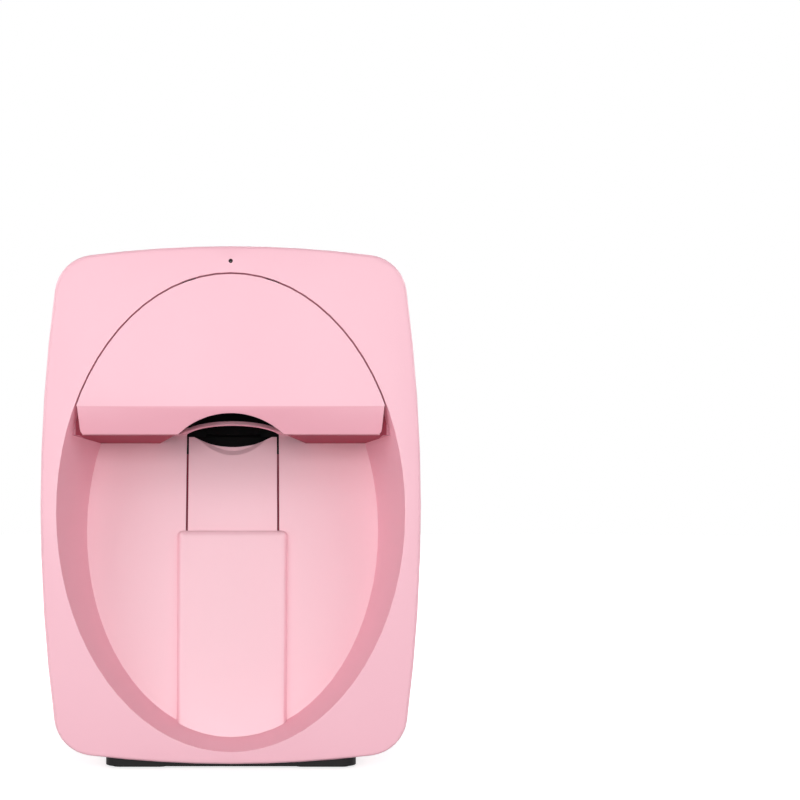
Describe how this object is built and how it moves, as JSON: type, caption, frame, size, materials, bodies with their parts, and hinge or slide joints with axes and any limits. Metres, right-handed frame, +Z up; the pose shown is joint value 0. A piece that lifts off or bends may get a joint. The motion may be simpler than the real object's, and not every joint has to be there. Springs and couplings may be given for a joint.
{
  "type": "tabletop nail art printer",
  "caption": "Upright housing with an elliptical hand recess, a lift-up lid over a print bay, a sliding finger tray, a palm rest and a two-way print carriage.",
  "frame": {"origin": "on the ground under the middle of the body: the bounding box's bottom centre", "axes": "+Z up, the front face with the recess looks along -Y, +X is to the right seen from the front"},
  "size_m": [0.21, 0.19, 0.2883],
  "materials": {
    "shell": "satin pink moulding",
    "base": "matt black",
    "rubber": "matt black rubber",
    "inner_plastic": "matt black moulding",
    "plated_steel": "bright plated",
    "lens": "dark clear",
    "board": "green circuit board",
    "led_board": "white circuit board",
    "chassis": "black coated sheet",
    "rod_steel": "ground steel",
    "grey_plastic": "matt grey moulding",
    "motor": "satin grey can",
    "stage_metal": "grey anodised",
    "brass": "turned",
    "aluminium": "turned",
    "belt": "matt black",
    "camera_plastic": "matt dark grey",
    "cartridge": "fine matt dark grey",
    "chip": "matt black",
    "battery": "blue shrink sleeve",
    "button": "gloss off-white"
  },
  "bodies": {
    "housing": {"front_housing": "shell", "rear_housing": "shell", "palm_rest": "shell", "finger_guard": "shell", "base_plate": "base", "rubber_feet": "rubber", "tray_channel": "inner_plastic", "magnet_keepers": "plated_steel", "hinge_pins": "plated_steel", "indicator_lens": "lens", "indicator_board": "board", "chassis": "chassis", "stage_rods": "rod_steel", "finger_bed": "inner_plastic", "led_boards": "led_board", "cap_post": "grey_plastic", "nozzle_cap": "rubber", "stage_motor": "motor", "main_board": "board", "board_parts": "chip", "battery_tray": "inner_plastic", "battery_pack": "battery", "fan_frame": "inner_plastic", "power_board": "board", "power_inlet": "inner_plastic", "button_switch": "grey_plastic", "housing_screws": "plated_steel", "chassis_screws": "plated_steel"},
    "lid": {"lid": "shell", "lid_arms": "inner_plastic", "lid_magnets": "plated_steel"},
    "tray": {"finger_tray": "shell"},
    "stage": {"stage_frame": "stage_metal", "stage_bushes": "brass", "lead_nut": "brass", "carriage_rails": "rod_steel", "carriage_motor": "motor", "idler_axle": "rod_steel", "drive_belt": "belt"},
    "carriage": {"carriage": "inner_plastic", "carriage_bushes": "brass", "camera": "camera_plastic", "camera_lens": "lens", "ink_cartridge": "cartridge", "nozzle_plate": "plated_steel", "latch_pin": "rod_steel"},
    "latch": {"cartridge_latch": "grey_plastic"},
    "drive_pulley": {"drive_pulley": "aluminium"},
    "idler_pulley": {"idler_pulley": "inner_plastic"},
    "lead_screw": {"lead_screw": "rod_steel"},
    "fan": {"fan_rotor": "inner_plastic"},
    "button": {"power_button": "button"}
  },
  "joints": [
    {"name": "lid_hinge", "type": "hinge", "parent": "housing", "child": "lid", "pos_m": [0, -0.09, 0.2785], "axis": [-1, 0, 0], "range_deg": [0, 75]},
    {"name": "tray_slide", "type": "slide", "parent": "housing", "child": "tray", "axis": [0, -0.225, -0.9744], "range_m": [0, 0.026]},
    {"name": "stage_slide", "type": "slide", "parent": "housing", "child": "stage", "axis": [0, 0.225, 0.9744], "range_m": [-0.01, 0]},
    {"name": "carriage_slide", "type": "slide", "parent": "stage", "child": "carriage", "axis": [1, 0, 0], "range_m": [-0.042, 0]},
    {"name": "latch_hinge", "type": "hinge", "parent": "carriage", "child": "latch", "pos_m": [0.03, -0.07016, 0.2542], "axis": [-1, 0, 0], "range_deg": [0, 75]},
    {"name": "drive_pulley_spin", "type": "hinge", "parent": "stage", "child": "drive_pulley", "pos_m": [0.042, -0.05404, 0.26977], "axis": [0, 0.9744, -0.225], "range_deg": [-2, 440]},
    {"name": "idler_pulley_spin", "type": "hinge", "parent": "stage", "child": "idler_pulley", "pos_m": [-0.046, -0.05404, 0.26977], "axis": [0, 0.9744, -0.225], "range_deg": [-2, 440]},
    {"name": "lead_screw_spin", "type": "hinge", "parent": "housing", "child": "lead_screw", "pos_m": [-0.075, -0.04877, 0.23038], "axis": [0, 0.225, 0.9744], "range_deg": [-2, 455]},
    {"name": "fan_spin", "type": "hinge", "parent": "housing", "child": "fan", "pos_m": [0, 0.0875, 0.23064], "axis": [0, 1, 0], "continuous": true},
    {"name": "power_press", "type": "slide", "parent": "housing", "child": "button", "axis": [0, -1, 0], "range_m": [0, 0.0015], "stiffness_N_per_m": 400, "springref_m": -0.0004}
  ],
  "couplings": [
    {"joint": "drive_pulley_spin", "follows": "carriage_slide", "rad_per_m": -181.82},
    {"joint": "idler_pulley_spin", "follows": "carriage_slide", "rad_per_m": -181.82},
    {"joint": "lead_screw_spin", "follows": "stage_slide", "rad_per_m": -785.4}
  ]
}
